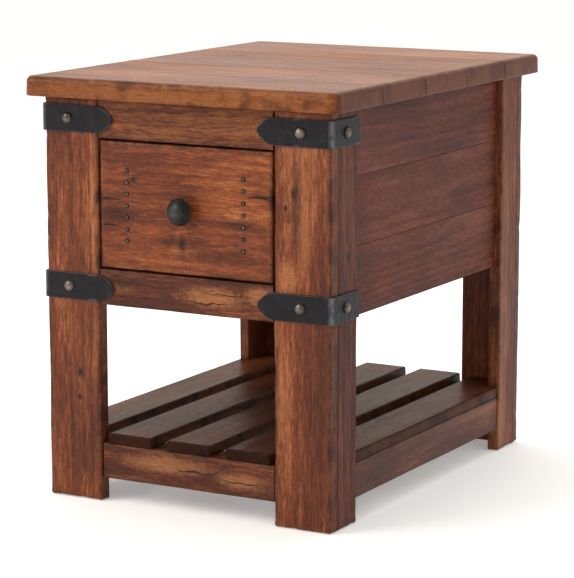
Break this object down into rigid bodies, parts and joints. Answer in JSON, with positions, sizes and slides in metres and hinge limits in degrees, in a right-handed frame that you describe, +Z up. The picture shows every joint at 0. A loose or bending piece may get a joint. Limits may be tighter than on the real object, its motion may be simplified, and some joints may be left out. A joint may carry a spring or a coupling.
{
  "type": "side table with drawer",
  "caption": "Rustic solid-wood side table: thick top on four L-section legs, one drawer with an iron knob, iron corner straps and an open slatted shelf below.",
  "frame": {"origin": "on the floor, under the middle of the table top", "axes": "+Z up; +Y towards the back, so the drawer opens along -Y; +X to the right of a person facing the drawer"},
  "size_m": [0.502, 0.671, 0.61],
  "materials": {
    "top_wood": "warm red-brown hardwood, satin lacquer, softly rounded edges",
    "leg_wood": "reddish brown hardwood, upright grain, satin lacquer, hand-worn edges",
    "rail_wood": "reddish brown hardwood with golden streaks, satin lacquer",
    "panel_wood": "plum-brown hardwood, glued boards, satin lacquer",
    "slat_wood": "dark brown hardwood, satin lacquer",
    "drawer_front_wood": "reddish brown hardwood, level grain, satin lacquer",
    "drawer_box_wood": "plain pale hardwood, matt",
    "inner_wood": "plain softwood battens, unfinished",
    "strap_iron": "dark charcoal forged iron, worn at the edges",
    "stud_iron": "dark forged iron, rubbed brighter on the dome",
    "knob_iron": "dark charcoal iron, hammered",
    "slide_steel": "zinc-plated pressed steel",
    "screw_steel": "zinc-plated steel"
  },
  "bodies": {
    "case": {"table_top": "top_wood", "front_left_leg_face": "leg_wood", "front_left_leg_side": "leg_wood", "front_right_leg_face": "leg_wood", "front_right_leg_side": "leg_wood", "back_left_leg_face": "leg_wood", "back_left_leg_side": "leg_wood", "back_right_leg_face": "leg_wood", "back_right_leg_side": "leg_wood", "upper_drawer_rail": "rail_wood", "lower_drawer_rail": "rail_wood", "side_panel_left": "panel_wood", "side_panel_right": "panel_wood", "back_panel": "panel_wood", "top_cleat_left": "inner_wood", "slide_bearer_left": "inner_wood", "shelf_rail_left": "rail_wood", "top_cleat_right": "inner_wood", "slide_bearer_right": "inner_wood", "shelf_rail_right": "rail_wood", "spacer_blocks": "inner_wood", "shelf_rail_front": "rail_wood", "shelf_cleat_front": "inner_wood", "shelf_rail_back": "rail_wood", "shelf_cleat_back": "inner_wood", "shelf_slat_1": "slat_wood", "shelf_slat_2": "slat_wood", "shelf_slat_3": "slat_wood", "shelf_slat_4": "slat_wood", "shelf_slat_5": "slat_wood", "upper_strap_left": "strap_iron", "upper_strap_right": "strap_iron", "lower_strap_left": "strap_iron", "lower_strap_right": "strap_iron", "strap_studs": "stud_iron", "frame_screws": "screw_steel", "case_slide_screws": "screw_steel", "slide_case_member_left": "slide_steel", "slide_case_member_right": "slide_steel"},
    "drawer": {"drawer_front": "drawer_front_wood", "drawer_side_left": "drawer_box_wood", "slide_drawer_member_left": "slide_steel", "drawer_side_right": "drawer_box_wood", "slide_drawer_member_right": "slide_steel", "drawer_back": "drawer_box_wood", "drawer_bottom": "drawer_box_wood", "drawer_nails": "stud_iron", "knob": "knob_iron", "knob_screw": "screw_steel", "drawer_screws": "screw_steel", "drawer_slide_screws": "screw_steel"},
    "slide_middle_member_left": {"slide_middle_member_left": "slide_steel"},
    "slide_outer_cage_left": {"slide_outer_cage_left": "slide_steel"},
    "slide_inner_cage_left": {"slide_inner_cage_left": "slide_steel"},
    "slide_middle_member_right": {"slide_middle_member_right": "slide_steel"},
    "slide_outer_cage_right": {"slide_outer_cage_right": "slide_steel"},
    "slide_inner_cage_right": {"slide_inner_cage_right": "slide_steel"}
  },
  "joints": [
    {"name": "drawer_slide", "type": "slide", "parent": "case", "child": "drawer", "axis": [0, -1, 0], "range_m": [0, 0.48]},
    {"name": "middle_member_left_slide", "type": "slide", "parent": "case", "child": "slide_middle_member_left", "axis": [0, -1, 0], "range_m": [0, 0.24]},
    {"name": "outer_cage_left_slide", "type": "slide", "parent": "case", "child": "slide_outer_cage_left", "axis": [0, -1, 0], "range_m": [0, 0.12]},
    {"name": "inner_cage_left_slide", "type": "slide", "parent": "case", "child": "slide_inner_cage_left", "axis": [0, -1, 0], "range_m": [0, 0.36]},
    {"name": "middle_member_right_slide", "type": "slide", "parent": "case", "child": "slide_middle_member_right", "axis": [0, -1, 0], "range_m": [0, 0.24]},
    {"name": "outer_cage_right_slide", "type": "slide", "parent": "case", "child": "slide_outer_cage_right", "axis": [0, -1, 0], "range_m": [0, 0.12]},
    {"name": "inner_cage_right_slide", "type": "slide", "parent": "case", "child": "slide_inner_cage_right", "axis": [0, -1, 0], "range_m": [0, 0.36]}
  ],
  "couplings": [
    {"joint": "middle_member_left_slide", "follows": "drawer_slide", "ratio": 0.5},
    {"joint": "outer_cage_left_slide", "follows": "drawer_slide", "ratio": 0.25},
    {"joint": "inner_cage_left_slide", "follows": "drawer_slide", "ratio": 0.75},
    {"joint": "middle_member_right_slide", "follows": "drawer_slide", "ratio": 0.5},
    {"joint": "outer_cage_right_slide", "follows": "drawer_slide", "ratio": 0.25},
    {"joint": "inner_cage_right_slide", "follows": "drawer_slide", "ratio": 0.75}
  ]
}
